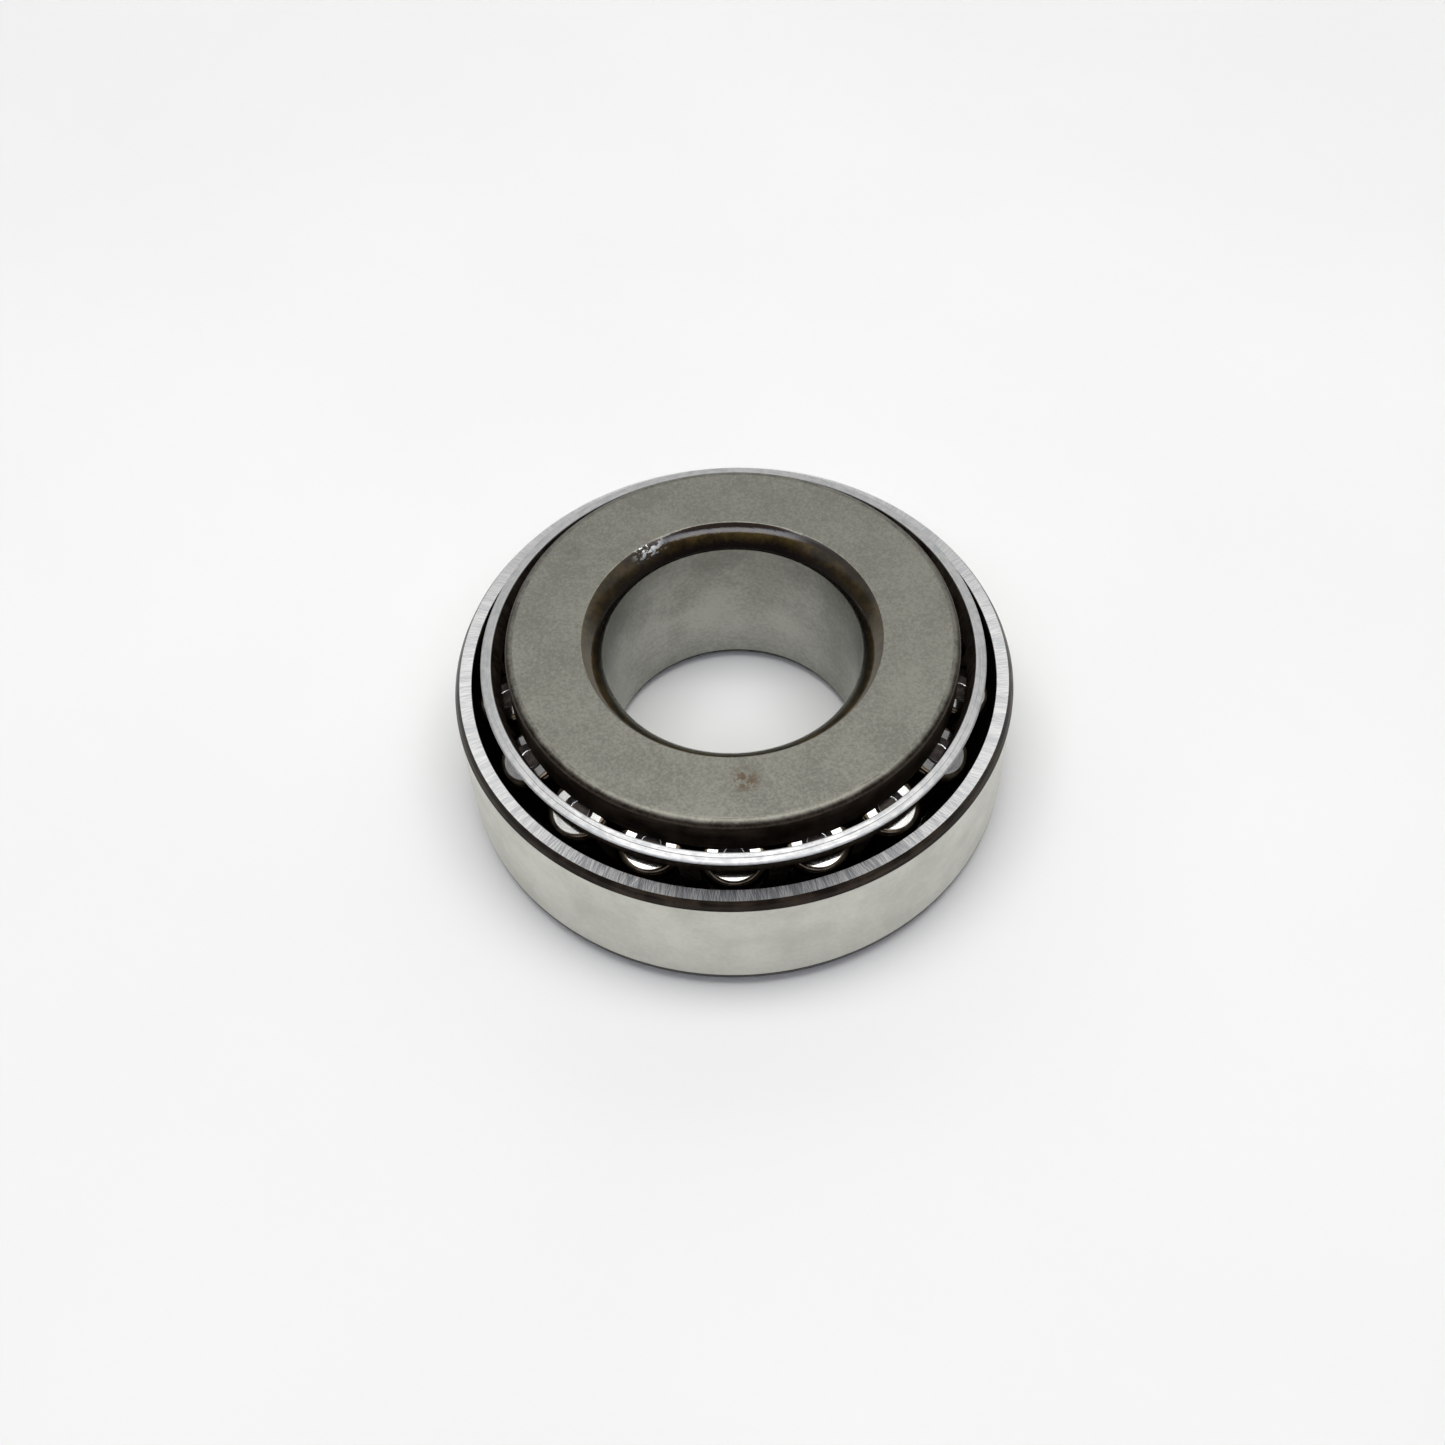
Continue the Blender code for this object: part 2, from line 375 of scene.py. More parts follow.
def cup_face_steel():
    """Bright face of the cup, with fine radial grinding lines: deepest at the front, and darker
    there with painted shade.
    """
    look = Look("cup_face_steel", (0.78, 0.79, 0.80), 0.3)
    fine = look.noise(look.ring_space(330.0, 0.2, 0.0, 0.002), 1.0, 2.0)
    slanting = look.noise(look.ring_space(240.0, 0.2, 0.0, -0.006), 1.0, 2.0)
    broad = look.noise(look.ring_space(30.0, 0.1, 0.0, 0.002), 1.0, 3.0)
    streaks = look.weigh((fine, 0.5), (slanting, 0.5))
    stray = look.noise(look.ring_space(120.0, 0.15, 0.0, 0.011), 1.0, 1.0)
    scratches = look.ramp(stray, 0.68, 0.74)
    share = look.weigh((streaks, 0.8), (broad, 0.2))
    # Painted shade: the grinding lines are darkened over the front of the face, where the relief is
    # also deeper.
    front = look.spot(SHADE_PAINTED_FRONT_OF_CUP, 26.0, 14.0)
    dark = look.blend(front, (0.74, 0.75, 0.78), (0.48, 0.49, 0.52))
    colour = look.blend(look.ramp(share, 0.45, 0.56), dark, (0.97, 0.97, 0.96))
    look.feed("Base Color", look.blend(scratches, colour, (0.95, 0.95, 0.94)))
    look.feed("Roughness", look.ramp(share, 0.44, 0.58, 0.28, 0.32))
    height = look.times(look.maths("ADD", streaks, scratches), front)
    look.feed("Normal", look.bump(height, 0.35, 0.014))
    look.brushed(0.8, 0.0)
    return look.material


def cup_wall_steel():
    """Satin outside of the cup: centreless-ground, with soft cloudy mottling."""
    look = Look("cup_wall_steel", (0.62, 0.62, 0.60), 0.42)
    clouds = look.noise(look.place, 110.0, 4.0, 0.6)
    grain = look.noise(look.place, 1500.0, 3.0, 0.6)
    lines = look.noise(look.ring_space(6.0, 0.0, 14.0), 1.0, 3.0)
    share = look.weigh((clouds, 0.55), (grain, 0.25), (lines, 0.2))
    look.paint(share, 0.35, 0.65, (0.535, 0.533, 0.485), (0.64, 0.638, 0.582))
    look.feed("Roughness", look.ramp(clouds, 0.3, 0.7, 0.48, 0.36))
    relief = look.bump(grain, 0.25, 0.012)
    look.feed("Normal", look.bump(lines, 0.2, 0.008, relief))
    look.brushed(0.4, 0.25)
    return look.material


def scale_steel():
    """Dark brown skin that heat treatment leaves on corners that aren't ground."""
    look = Look("scale_steel", (0.05, 0.035, 0.03), 0.3, 0.1)
    patches = look.noise(look.place, 260.0, 4.0, 0.6)
    grain = look.noise(look.place, 1900.0, 2.0, 0.5)
    turned = look.noise(look.ring_space(5.0, 5.0, 5.0), 1.0, 2.0)
    share = look.weigh((patches, 0.6), (turned, 0.4))
    look.paint(share, 0.4, 0.62, (0.012, 0.0085, 0.0065), (0.043, 0.031, 0.022))
    look.feed("Roughness", look.ramp(patches, 0.35, 0.65, 0.28, 0.42))
    relief = look.bump(grain, 0.25, 0.015)
    look.feed("Normal", look.bump(turned, 0.3, 0.02, relief))
    look.set("Specular IOR Level", 0.15)
    return look.material


def bore_corner_steel():
    """Brown corner of the bore under a thick film of oil, with painted highlights at one place.

    It is darkest at its foot. The dark along the rim at the back is painted shade.
    """
    look = Look("bore_corner_steel", (0.08, 0.05, 0.025), 0.2)
    patches = look.noise(look.place, 420.0, 5.0, 0.7)
    grain = look.noise(look.place, 2200.0, 2.0, 0.5)
    glint_noise = look.noise(look.ring_space(20.0, 1.3, 1.3), 1.0, 3.0, 0.65)
    height = look.polar()[1]
    rim = look.ramp(height, BEARING_HEIGHT - 1.5, BEARING_HEIGHT - 1.1)
    # Painted highlights: bright white spots on the upper corner stand in for glints on the wet oil.
    place = look.spot(PAINTED_GLINTS, 1.4, 2.2)
    painted_glint_mask = look.times(look.times(place, rim), look.ramp(glint_noise, 0.51, 0.56))
    brown = look.blend(look.ramp(patches, 0.34, 0.7), (0.033, 0.022, 0.007), (0.098, 0.064, 0.018))
    foot = look.ramp(height, BEARING_HEIGHT - 2.6, BEARING_HEIGHT - 1.5)
    colour = look.blend(foot, (0.02, 0.013, 0.012), brown)
    # Painted shade: a dark strip along the rim at the back of the corner.
    edge = look.ramp(height, BEARING_HEIGHT - 0.75, BEARING_HEIGHT - 0.4)
    painted_rim_shade = look.times(edge, look.spot(PAINTED_DARK_RIM, 18.0, 7.0))
    colour = look.blend(painted_rim_shade, colour, (0.02, 0.014, 0.012))
    look.feed("Base Color", look.blend(painted_glint_mask, colour, (0.90, 0.92, 0.95)))
    look.feed("Roughness", look.ramp(patches, 0.35, 0.65, 0.3, 0.42))
    fine = look.bump(grain, 0.4, 0.02)
    wave = look.bump(patches, 0.2, 0.03, fine)
    relief = look.bump(painted_glint_mask, 0.6, 0.1, wave)
    look.feed("Normal", relief)
    look.feed("Coat Normal", relief)
    look.set("Coat Weight", 1.0)
    look.set("Coat Roughness", 0.06)
    look.set("Coat IOR", 1.66)
    return look.material


def rib_corner_steel():
    """Rounded edge of the cone's rib, where the ground face runs out into brown skin."""
    look = Look("rib_corner_steel", (0.16, 0.13, 0.11), 0.36)
    grain = look.noise(look.place, 2200.0, 3.0, 0.6)
    patches = look.noise(look.place, 500.0, 3.0, 0.6)
    share = look.weigh((grain, 0.5), (patches, 0.5))
    brown = look.blend(look.ramp(share, 0.38, 0.62), (0.042, 0.033, 0.026), (0.085, 0.069, 0.054))
    ground = look.blend(look.ramp(share, 0.38, 0.62), (0.135, 0.133, 0.115), (0.24, 0.236, 0.205))
    height = look.maths("ADD", look.polar()[1], look.times(patches, 0.12))
    look.paint(height, BEARING_HEIGHT - 0.32, BEARING_HEIGHT, brown, ground)
    look.feed("Roughness", look.ramp(share, 0.35, 0.65, 0.4, 0.52))
    look.feed("Normal", look.bump(grain, 0.4, 0.02))
    return look.material


def cone_face_steel():
    """Matt grey back face of the cone: fine mottled grain, a rusty print and a dark smudge."""
    look = Look("cone_face_steel", (0.45, 0.44, 0.42), 0.42)
    grain = look.noise(look.place, 2600.0, 3.0, 0.6)
    mottle = look.noise(look.place, 1200.0, 4.0, 0.65)
    clouds = look.noise(look.place, 130.0, 4.0, 0.6)
    share = look.weigh((grain, 0.5), (mottle, 0.22), (clouds, 0.28))
    colour = look.blend(look.ramp(share, 0.39, 0.61), (0.215, 0.214, 0.187), (0.30, 0.297, 0.263))
    ragged = look.noise(look.place, 900.0, 4.0, 0.75)
    rust = look.times(look.spot(RUST_PRINT, 1.6, 1.4), look.ramp(ragged, 0.44, 0.52))
    colour = look.blend(look.times(rust, 0.85), colour, (0.135, 0.088, 0.052))
    smudge = look.times(look.spot(DARK_SMUDGE, 1.5, 1.5), look.ramp(ragged, 0.3, 0.6))
    colour = look.blend(look.times(smudge, 0.6), colour, (0.15, 0.145, 0.135))
    look.feed("Base Color", colour)
    look.feed("Roughness", look.ramp(share, 0.4, 0.6, 0.6, 0.52))
    relief = look.bump(mottle, 0.35, 0.012)
    look.feed("Normal", look.bump(grain, 0.3, 0.008, relief))
    return look.material


def bore_steel():
    """Satin ground bore, with faint rings and a few scuffs along the axis."""
    look = Look("bore_steel", (0.60, 0.60, 0.58), 0.38)
    clouds = look.noise(look.place, 90.0, 3.0, 0.55)
    grain = look.noise(look.place, 1700.0, 3.0, 0.6)
    rings = look.noise(look.ring_space(4.0, 0.0, 16.0), 1.0, 3.0)
    upright = look.noise(look.ring_space(26.0, 0.0, 0.5), 1.0, 4.0, 0.7)
    scuffs = look.ramp(upright, 0.66, 0.74)
    share = look.weigh((clouds, 0.5), (grain, 0.3), (rings, 0.2))
    colour = look.blend(look.ramp(share, 0.38, 0.62), (0.265, 0.264, 0.235), (0.385, 0.384, 0.343))
    look.feed("Base Color", look.blend(look.times(scuffs, 0.5), colour, (0.2, 0.195, 0.19)))
    look.feed("Roughness", look.ramp(share, 0.35, 0.65, 0.44, 0.34))
    relief = look.bump(grain, 0.2, 0.01)
    look.feed("Normal", look.bump(rings, 0.2, 0.008, relief))
    look.brushed(0.4, 0.25)
    return look.material


def race_steel():
    """Honed race, nearly a mirror, under a brown film of oil."""
    look = Look("race_steel", (0.34, 0.32, 0.30), 0.16)
    rings = look.noise(look.ring_space(6.0, 10.0, 10.0), 1.0, 3.0)
    film = look.noise(look.place, 160.0, 3.0, 0.6)
    look.paint(film, 0.35, 0.65, (0.22, 0.20, 0.19), (0.42, 0.40, 0.37))
    look.feed("Roughness", look.ramp(rings, 0.3, 0.7, 0.12, 0.24))
    look.feed("Normal", look.bump(rings, 0.15, 0.006))
    return look.material


def cage_sheet_steel():
    """Pressed sheet of the cage: dark brown phosphated skin with drawing marks."""
    look = Look("cage_sheet_steel", (0.03, 0.024, 0.018), 0.6, 0.0)
    clouds = look.noise(look.place, 240.0, 4.0, 0.6)
    grain = look.noise(look.place, 1500.0, 3.0, 0.6)
    drawn = look.noise(look.ring_space(60.0, 0.5, 0.5), 1.0, 3.0)
    share = look.weigh((clouds, 0.6), (drawn, 0.4))
    look.paint(share, 0.36, 0.64, (0.012, 0.009, 0.007), (0.045, 0.035, 0.027))
    look.feed("Roughness", look.ramp(clouds, 0.3, 0.7, 0.68, 0.52))
    relief = look.bump(grain, 0.25, 0.012)
    look.feed("Normal", look.bump(drawn, 0.25, 0.015, relief))
    look.set("Specular IOR Level", 0.0)
    return look.material


def cage_edge_steel():
    """Bright blanked edge of the cage's lip."""
    look = Look("cage_edge_steel", (0.58, 0.58, 0.58), 0.5)
    mottle = look.noise(look.place, 900.0, 3.0, 0.6)
    shear = look.noise(look.ring_space(7.0, 8.0, 0.0), 1.0, 3.0)
    share = look.weigh((mottle, 0.5), (shear, 0.5))
    look.paint(share, 0.38, 0.6, (0.46, 0.47, 0.485), (0.60, 0.60, 0.60))
    look.feed("Roughness", look.ramp(share, 0.3, 0.7, 0.56, 0.46))
    relief = look.bump(mottle, 0.15, 0.015)
    look.feed("Normal", look.bump(shear, 0.12, 0.01, relief))
    return look.material


def roller_end_steel():
    """Ground, almost mirror-bright end of a roller, with fine curved grinding lines."""
    look = Look("roller_end_steel", (0.66, 0.66, 0.66), 0.1)
    rings = look.noise(look.ring_space(3.0, 9.0, 0.0), 1.0, 3.0)
    arcs = look.noise(look.ring_space(2.0, 22.0, 0.0, 0.5), 1.0, 2.0)
    share = look.weigh((rings, 0.4), (arcs, 0.6))
    look.paint(share, 0.4, 0.6, (0.36, 0.36, 0.365), (0.62, 0.62, 0.61))
    look.feed("Roughness", look.ramp(share, 0.35, 0.65, 0.14, 0.05))
    look.feed("Normal", look.bump(share, 0.2, 0.006))
    return look.material


def roller_body_steel():
    """Honed body of a roller."""
    look = Look("roller_body_steel", (0.62, 0.61, 0.60), 0.14)
    rings = look.noise(look.ring_space(3.0, 0.0, 10.0), 1.0, 3.0)
    film = look.noise(look.place, 300.0, 3.0, 0.6)
    look.paint(film, 0.35, 0.65, (0.46, 0.44, 0.42), (0.70, 0.70, 0.69))
    look.feed("Roughness", look.ramp(rings, 0.3, 0.7, 0.1, 0.22))
    look.feed("Normal", look.bump(rings, 0.15, 0.005))
    return look.material


def roller_corner_steel():
    """Corners of a roller: smooth and brownish, and painted darker than the ground ends as shade.
    """
    look = Look("roller_corner_steel", (0.18, 0.15, 0.12), 0.12)
    film = look.noise(look.place, 500.0, 3.0, 0.6)
    look.paint(film, 0.35, 0.65, (0.03, 0.023, 0.016), (0.08, 0.065, 0.05))
    look.feed("Roughness", look.ramp(film, 0.3, 0.7, 0.1, 0.18))
    look.feed("Normal", look.bump(film, 0.2, 0.01))
    return look.material


def dimple_steel():
    """Forged dimple in the large end of a roller: dull, reddish black and mottled."""
    look = Look("dimple_steel", (0.05, 0.04, 0.035), 0.5, 0.4)
    mottle = look.noise(look.place, 1100.0, 4.0, 0.65)
    look.paint(mottle, 0.36, 0.64, (0.022, 0.015, 0.012), (0.08, 0.063, 0.058))
    look.feed("Roughness", look.ramp(mottle, 0.3, 0.7, 0.42, 0.58))
    look.feed("Normal", look.bump(mottle, 0.4, 0.03))
    return look.material


def dimple_highlight_ring_steel():
    """Bright ring round the floor of a dimple: a painted highlight along the floor's edge."""
    look = Look("dimple_highlight_ring_steel", (0.80, 0.80, 0.80), 0.3)
    mottle = look.noise(look.place, 1500.0, 3.0, 0.6)
    look.paint(mottle, 0.36, 0.6, (0.55, 0.55, 0.55), (0.92, 0.92, 0.92))
    look.feed("Roughness", look.ramp(mottle, 0.3, 0.7, 0.36, 0.24))
    look.feed("Normal", look.bump(mottle, 0.2, 0.01))
    return look.material


# ---------------------------------------------------------------- pieces
def make_cup(materials):
    """The outer ring: a slightly rounded chamfer on its front and a large fillet on its back."""
    face, wall, scale, race = range(4)
    chamfer_width, chamfer_height = 0.82, 1.48
    middle_width, middle_height = 0.42 * chamfer_width, 0.47 * chamfer_height
    back_fillet, back_edge, front_edge = 2.95, 0.5, 0.1
    shape = Outline()
    shape.add((OUTSIDE_RADIUS - chamfer_width, CUP_HEIGHT), scale)
    shape.add((OUTSIDE_RADIUS - middle_width, CUP_HEIGHT - middle_height), scale)
    shape.add((OUTSIDE_RADIUS, CUP_HEIGHT - chamfer_height), wall)
    fillet_centre = (OUTSIDE_RADIUS - back_fillet, back_fillet)
    shape.arc(fillet_centre, back_fillet, 0, -90, scale, 14)
    shape.zones[-1] = face
    back_race = race_radius(back_edge, 1)
    shape.add((back_race + back_edge, 0.0), scale)
    shape.add((back_race, back_edge), race)
    front_race = race_radius(CUP_HEIGHT - front_edge, 1)
    shape.add((front_race, CUP_HEIGHT - front_edge), scale)
    shape.add((front_race + front_edge, CUP_HEIGHT), face)
    return lathe("cup", shape, RING_SEGMENTS, materials)


def make_cone(materials):
    """The inner ring: its large rib under the back face, an undercut race and its small rib."""
    face, bore, scale, race, bore_corner, rib_corner = range(6)
    rib_width, rib_drop, rib_steps = 1.35, 1.0, 12
    undercut, small_end_room = 0.45, 0.45
    small_rib_radius, small_rib_chamfer, front_corner = 24.9, 0.7, 1.2
    bore_corner_width, bore_corner_height, bore_corner_bulge = 2.8, 3.15, 0.3
    face_edge_radius, face_edge_drop = BORE_RADIUS + 2.9, 0.05
    # The rib's lower corner is broken between these two places beside it.
    above_corner, inside_corner = Vector((0.0, 0.25)), Vector((-0.25, 0.08))
    rib_foot = section_point(RIB_CLEARANCE, 0.0)
    rib_foot = rib_foot - ACROSS * ((rib_foot.x - RIB_RADIUS) / ACROSS.x)
    large_root = section_point(RIB_CLEARANCE, -LARGE_END_RADIUS - undercut)
    small_root = section_point(-ROLLER_LENGTH - small_end_room, -SMALL_END_RADIUS - undercut)
    small_rib = small_root + ACROSS * ((small_rib_radius - small_root.x) / ACROSS.x)
    shape = Outline()
    for step in range(rib_steps + 1):
        angle = math.radians(90 - 90 * step / rib_steps)
        rounded = Vector((rib_width * (math.cos(angle) - 1), rib_drop * (math.sin(angle) - 1)))
        shape.add(Vector((RIB_RADIUS, BEARING_HEIGHT)) + rounded, rib_corner)
    shape.zones[0] = face
    shape.zones[-1] = scale
    shape.add(rib_foot + above_corner, scale)
    shape.add(rib_foot + inside_corner, race)
    shape.add(large_root, scale)
    shape.add(race_point(-2 * undercut, -1), race)
    shape.add(race_point(2 * undercut - ROLLER_LENGTH, -1), scale)
    shape.add(small_root, scale)
    shape.add(small_rib, scale)
    shape.add((small_rib_radius, CONE_FRONT + small_rib_chamfer), scale)
    shape.add((small_rib_radius - small_rib_chamfer, CONE_FRONT), face)
    corner_centre = (BORE_RADIUS + front_corner, CONE_FRONT + front_corner)
    shape.arc(corner_centre, front_corner, -90, -180, scale, 6)
    shape.zones[-1] = bore
    corner_foot = (BORE_RADIUS, BEARING_HEIGHT - bore_corner_height)
    corner_top = (BORE_RADIUS + bore_corner_width, BEARING_HEIGHT - face_edge_drop)
    shape.bulge(corner_foot, corner_top, bore_corner_bulge, bore_corner, 12)
    shape.zones[-1] = face
    shape.add((face_edge_radius, BEARING_HEIGHT), face)
    return lathe("cone", shape, RING_SEGMENTS, materials)


def roller_seat(body):
    """The place of a roller: Z along its axis and the origin at the centre of its large end."""
    joint = spins[body]
    centre, axis = Vector(joint["pos_m"]), Vector(joint["axis"])
    azimuth = math.atan2(centre.y, centre.x)
    lean = math.acos(axis.z)
    turn = Matrix.Rotation(azimuth, 4, "Z") @ Matrix.Rotation(lean, 4, "Y")
    return Matrix.Translation(centre) @ turn


def roller_outline():
    """Section of one roller: dimpled large end, rounded corners and a slightly crowned body."""
    end, body, corner_zone, dimple, rim = range(5)
    # The body's crown, the small breaks at the dimple's edges, and how far its floor is hollowed.
    crown, edge, bowl = 0.012, 0.06, 0.03
    small_corner, body_steps = 0.8, 8
    shape = Outline()
    shape.add((0.0, -DIMPLE_DEPTH - bowl), dimple)
    shape.add((DIMPLE_FLOOR_RADIUS - 2 * edge, -DIMPLE_DEPTH), dimple)
    # The bright ring at the edge of the dimple's floor is a painted highlight.
    shape.add((DIMPLE_FLOOR_RADIUS - edge, -DIMPLE_DEPTH), rim)
    shape.add((DIMPLE_FLOOR_RADIUS + edge, -DIMPLE_DEPTH + edge), dimple)
    shape.add((DIMPLE_RADIUS - edge, -0.7 * edge), dimple)
    shape.add((DIMPLE_RADIUS, 0.0), end)
    shape.add((LARGE_END_RADIUS - ROLLER_CORNER, 0.0), corner_zone)
    corner_centre = (LARGE_END_RADIUS - ROLLER_CORNER, -ROLLER_CORNER)
    shape.arc(corner_centre, ROLLER_CORNER, 84, 6, corner_zone, 10)
    shape.zones[-1] = body
    body_length = ROLLER_LENGTH - ROLLER_CORNER - small_corner
    for step in range(1, body_steps):
        share = (ROLLER_CORNER + body_length * step / body_steps) / ROLLER_LENGTH
        bow = crown * (1 - (2 * share - 1) ** 2) - crown
        radius = LARGE_END_RADIUS - share * ROLLER_LENGTH * ROLLER_SLOPE + bow
        shape.add((radius, -share * ROLLER_LENGTH), body)
    shape.zones[-1] = corner_zone
    small_centre = (SMALL_END_RADIUS - small_corner, small_corner - ROLLER_LENGTH)
    shape.arc(small_centre, small_corner, -6, -90, corner_zone, 8)
    shape.zones[-1] = end
    shape.add((0.0, -ROLLER_LENGTH), end)
    return shape


def make_rollers(materials):
    """One ground roller in each pocket."""
    shape = roller_outline()
    for body in ROLLERS:
        name = body.replace("roller_", "ground_roller_")
        piece = lathe(name, shape, ROLLER_SEGMENTS, materials, roller_seat(body))
        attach(piece, body)
        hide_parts(body)


def cage_outline():
    """Section of the cage: the wall, the flange at its foot and the blanked edge of its lip."""
    sheet, edge = range(2)
    outer, inner = SHEET_OFFSET + SHEET, SHEET_OFFSET
    foot = -ROLLER_LENGTH - TAIL_LENGTH
    # The flange's thickness, the bend inside it, the rounding of the lip's edges, and the depth
    # of the line that shearing leaves along the lip.
    thin, bend, roll, line = SHEET * 0.6, 0.3, 0.16, 0.05
    shear = inner + 0.42 * SHEET
    wall_and_foot = (
        (LIP_LENGTH - 1.7 * roll, outer),
        (foot + SHEET, outer),
        (foot + SHEET * 0.55, outer - SHEET * 0.1),
        (foot + SHEET * 0.2, outer - SHEET * 0.4),
        (foot, inner + SHEET * 0.1))
    lip_edge = (
        (LIP_LENGTH - 1.2 * roll, inner),
        (LIP_LENGTH - 0.35 * roll, inner + 0.35 * roll),
        (LIP_LENGTH, inner + 1.2 * roll),
        (LIP_LENGTH + 0.02, shear),
        (LIP_LENGTH - line, shear + 0.07),
        (LIP_LENGTH - 0.03, shear + 0.18),
        (LIP_LENGTH - 0.02, outer - 1.6 * roll),
        (LIP_LENGTH - 0.5 * roll, outer - 0.5 * roll))
    shape = Outline()
    for along, across in wall_and_foot:
        shape.add(section_point(along, across), sheet)
    flange = section_point(foot, 0.0)
    flange = flange - ACROSS * ((flange.x - TAIL_FLANGE_RADIUS) / ACROSS.x)
    shape.add(flange, sheet)
    shape.add(flange + thin * ALONG, sheet)
    shape.add(section_point(foot + thin, inner - bend), sheet)
    shape.add(section_point(foot + thin + bend, inner), sheet)
    for along, across in lip_edge:
        shape.add(section_point(along, across), edge)
    return shape


def plug_shape(low, high, grow):
    """A closed cone round a roller's axis, grown by a clearance, in the seat's own space."""
    shape = bmesh.new()
    middle = Matrix.Translation((0.0, 0.0, (low + high) / 2 * MM))
    radii = [(LARGE_END_RADIUS + along * ROLLER_SLOPE + grow) * MM for along in (low, high)]
    bmesh.ops.create_cone(shape, cap_ends=True, segments=CUTTER_SEGMENTS, radius1=radii[0],
                          radius2=radii[1], depth=(high - low) * MM, matrix=middle)
    return shape


def join_shapes(name, shapes, materials):
    """Put several placed bmeshes into one object."""
    whole = bmesh.new()
    for shape, matrix in shapes:
        bmesh.ops.transform(shape, matrix=matrix, verts=shape.verts)
        part = bpy.data.meshes.new(name)
        shape.to_mesh(part)
        shape.free()
        whole.from_mesh(part)
        bpy.data.meshes.remove(part)
    return finished(name, whole, materials)


def cut(piece, tool):
    """Cut a piece with a tool, keep the result and drop the tool."""
    boolean = piece.modifiers.new("cut", "BOOLEAN")
    boolean.object = tool
    boolean.operation = "DIFFERENCE"
    boolean.solver = "EXACT"
    boolean.material_mode = "TRANSFER"
    view = bpy.context.evaluated_depsgraph_get()
    mesh = bpy.data.meshes.new_from_object(piece.evaluated_get(view))
    piece.modifiers.clear()
    piece.data = mesh
    bpy.data.objects.remove(tool, do_unlink=True)


def make_cage(materials):
    """The cage: turned sheet with one window for each roller."""
    cage = lathe("pressed_cage", cage_outline(), CAGE_SEGMENTS, materials)
    low, high = -ROLLER_LENGTH - POCKET_CLEARANCE, POCKET_CLEARANCE / 2
    cutters = [(plug_shape(low, high, POCKET_CLEARANCE), roller_seat(body)) for body in ROLLERS]
    cut(cage, join_shapes("pockets", cutters, materials))
    cage.data.shade_smooth()
    cage.data.set_sharp_from_angle(angle=SHARP_ANGLE)
    return cage


# ---------------------------------------------------------------- studio
# The photograph's view: its angles, the camera's place once turned by the azimuth, and the lens.
CAMERA_AZIMUTH = math.radians(1.95)
CAMERA_ELEVATION = math.radians(53.64)
CAMERA_ROLL = math.radians(-2.44)
CAMERA_PLACE = Vector((-1.94, -158.14, 222.57)) * MM
FOCAL_LENGTH = 42.99
SENSOR_WIDTH = 36.0

# In metres.
FLOOR_HALF_SIDE = 4.0
FLOOR_DROP = 0.00002


def make_floor():
    """A plain pale table top that runs out of sight, just below the face the cup stands on."""
    look = Look("floor_paint", (0.93, 0.935, 0.93), 0.6, 0.0)
    clouds = look.noise(look.place, 9.0, 3.0, 0.5)
    look.paint(clouds, 0.3, 0.7, (0.915, 0.92, 0.915), (0.94, 0.945, 0.94))
    look.set("Specular IOR Level", 0.25)
    shape = bmesh.new()
    bmesh.ops.create_grid(shape, x_segments=1, y_segments=1, size=FLOOR_HALF_SIDE)
    floor = finished("floor", shape, [look.material])
    floor.location.z = -FLOOR_DROP


def make_light(name, place, target, size, power, colour):
    """A soft rectangular light that faces its target; lengths here are in metres."""
    lamp = bpy.data.lights.new(name, "AREA")
    lamp.shape = "RECTANGLE"
    lamp.size, lamp.size_y = size
    lamp.energy = power
    lamp.color = colour
    body = bpy.data.objects.new(name, lamp)
    bpy.context.scene.collection.objects.link(body)
    body.location = place
    body.rotation_euler = (Vector(target) - Vector(place)).to_track_quat("-Z", "Y").to_euler()


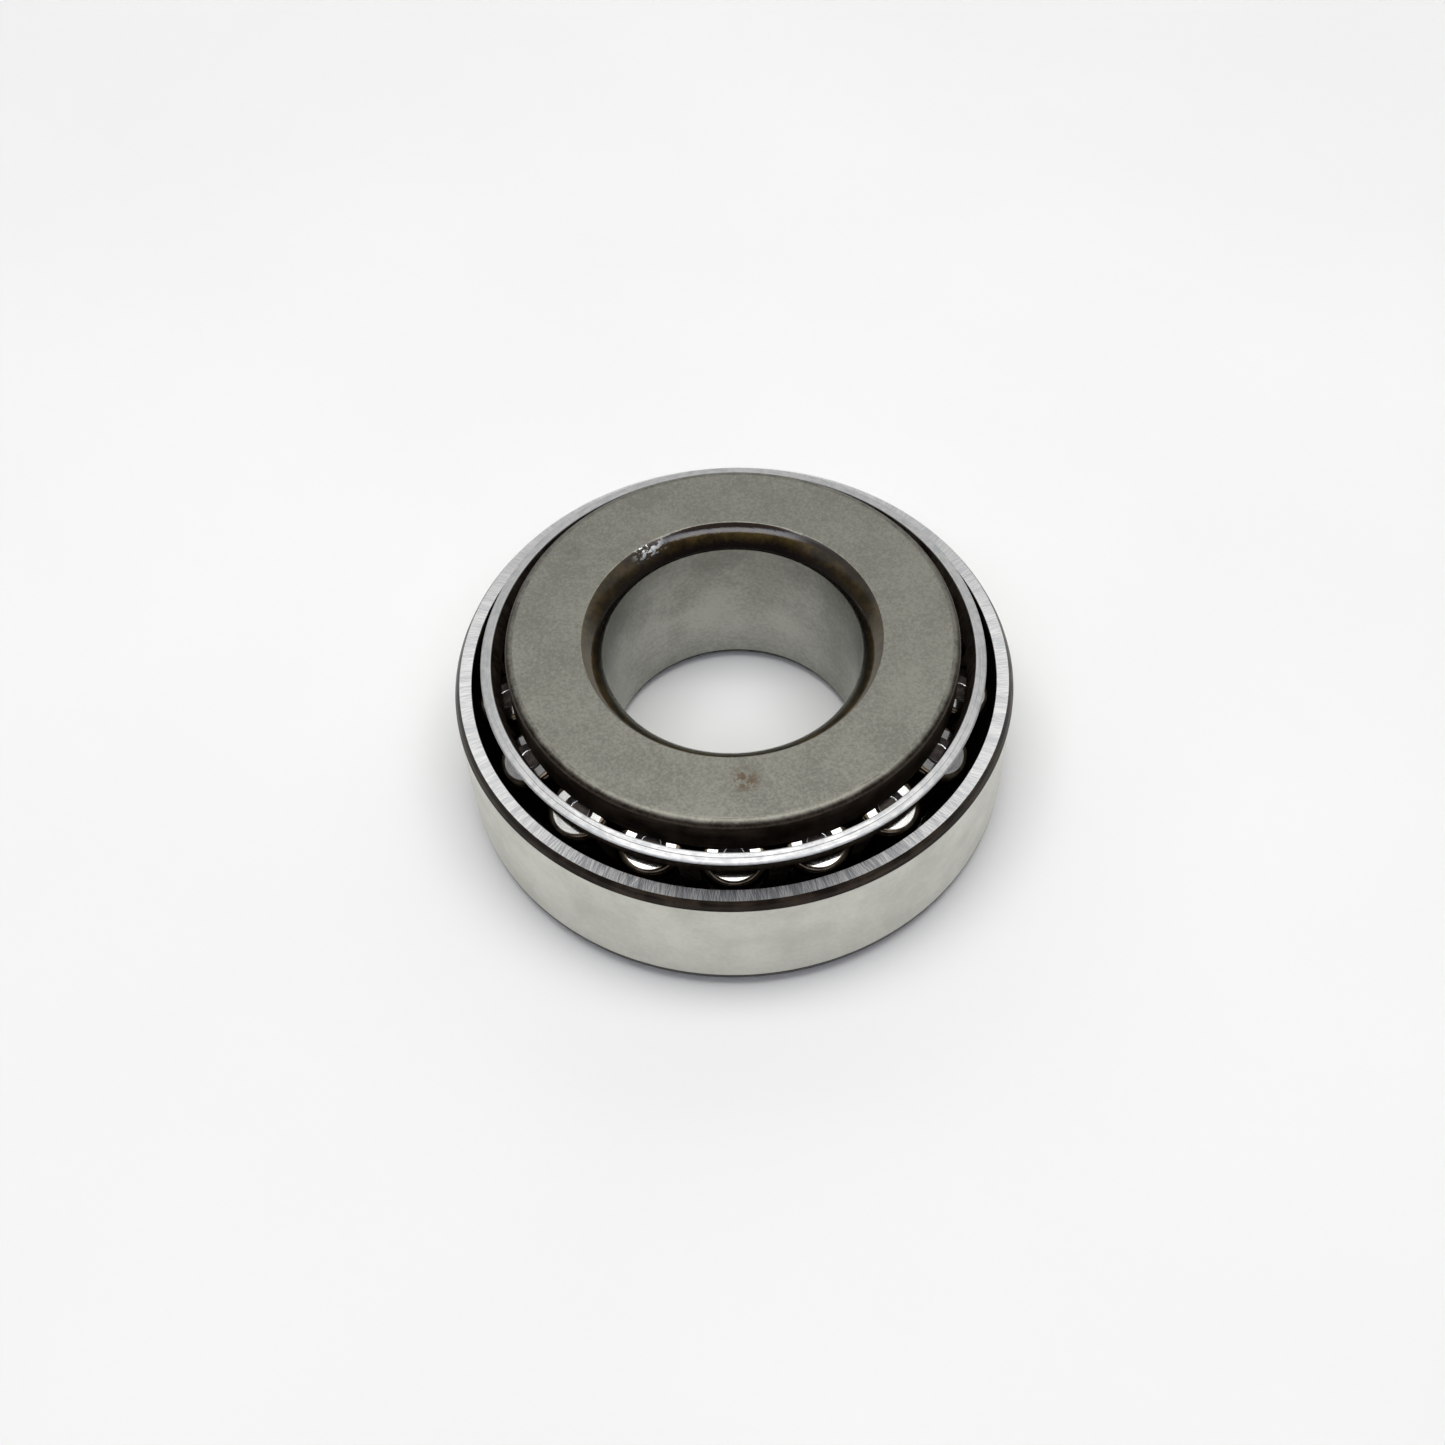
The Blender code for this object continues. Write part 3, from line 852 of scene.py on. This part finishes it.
def make_world():
    """The room that the steel mirrors, by direction.

    There is a pale wall at the back, +Y, that turns dark above. At the front there is a bright
    window in a dark wall. The sides get brighter upwards. The camera itself sees plain white
    past the edge of the floor.
    """
    world = bpy.data.worlds.new("studio")
    bpy.context.scene.world = world
    world.use_nodes = True
    sky = Nodes(world.node_tree)
    # ahead is 1 towards +Y and -1 towards -Y; height is degrees above the horizon.
    direction = sky.node("ShaderNodeTexCoord").outputs["Generated"]
    split = sky.node("ShaderNodeSeparateXYZ", [(0, direction)]).outputs
    level = sky.maths("SQRT", sky.maths("SUBTRACT", 1.0, sky.times(split[2], split[2])))
    ahead = sky.maths("DIVIDE", split[1], sky.maths("MAXIMUM", level, 0.001))
    height = sky.times(sky.maths("ARCSINE", split[2]), 180.0 / math.pi)

    wall = sky.blend(sky.ramp(height, 44.0, 54.0), (0.78, 0.78, 0.76), (0.09, 0.092, 0.1))
    dark = sky.blend(sky.ramp(height, 45.0, 49.0), (0.06, 0.05, 0.05), (2.6, 2.75, 3.1))
    window = sky.blend(sky.ramp(height, 55.0, 59.0), dark, (0.035, 0.026, 0.012))
    sides = sky.blend(sky.ramp(height, 20.0, 34.0), (0.12, 0.11, 0.10), (0.38, 0.38, 0.38))
    sides = sky.blend(sky.ramp(height, 50.0, 60.0), sides, (1.1, 1.1, 1.07))
    room = sky.blend(sky.ramp(ahead, 0.35, 0.75), sides, wall)
    room = sky.blend(sky.ramp(ahead, -0.35, -0.75), room, window)
    camera_ray = sky.node("ShaderNodeLightPath").outputs["Is Camera Ray"]
    shown = sky.blend(camera_ray, room, (0.93, 0.935, 0.93))
    sky.tree.links.new(shown, sky.tree.nodes["Background"].inputs["Color"])


def make_camera():
    """The camera at the photograph's own viewing angle."""
    lens = bpy.data.cameras.new("camera")
    lens.lens = FOCAL_LENGTH
    lens.sensor_width = SENSOR_WIDTH
    lens.clip_start = 0.01
    body = bpy.data.objects.new("camera", lens)
    bpy.context.scene.collection.objects.link(body)
    turn = Matrix.Rotation(CAMERA_AZIMUTH, 4, "Z")
    tilt = Matrix.Rotation(math.pi / 2 - CAMERA_ELEVATION, 4, "X")
    roll = Matrix.Rotation(CAMERA_ROLL, 4, "Z")
    body.matrix_world = turn @ Matrix.Translation(CAMERA_PLACE) @ (tilt @ roll)
    bpy.context.scene.camera = body


def main():
    """Build the camera, the bearing's pieces and the studio."""
    make_camera()
    scale, race = scale_steel(), race_steel()

    cup = make_cup([cup_face_steel(), cup_wall_steel(), scale, race])
    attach(cup, "outer_ring")
    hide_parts("outer_ring")

    cone = make_cone([cone_face_steel(), bore_steel(), scale, race,
                      bore_corner_steel(), rib_corner_steel()])
    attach(cone, "inner_ring")
    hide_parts("inner_ring")

    cage = make_cage([cage_sheet_steel(), cage_edge_steel()])
    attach(cage, "cage")
    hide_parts("cage")

    make_rollers([roller_end_steel(), roller_body_steel(), roller_corner_steel(),
                  dimple_steel(), dimple_highlight_ring_steel()])

    make_floor()
    make_world()
    make_light("overhead_softbox", place=(0.0, 0.02, 0.9), target=(0.0, 0.02, 0.0),
               size=(0.88, 0.42), power=4.7, colour=(1.0, 0.99, 0.965))
    bpy.context.scene.view_settings.view_transform = "Standard"


main()
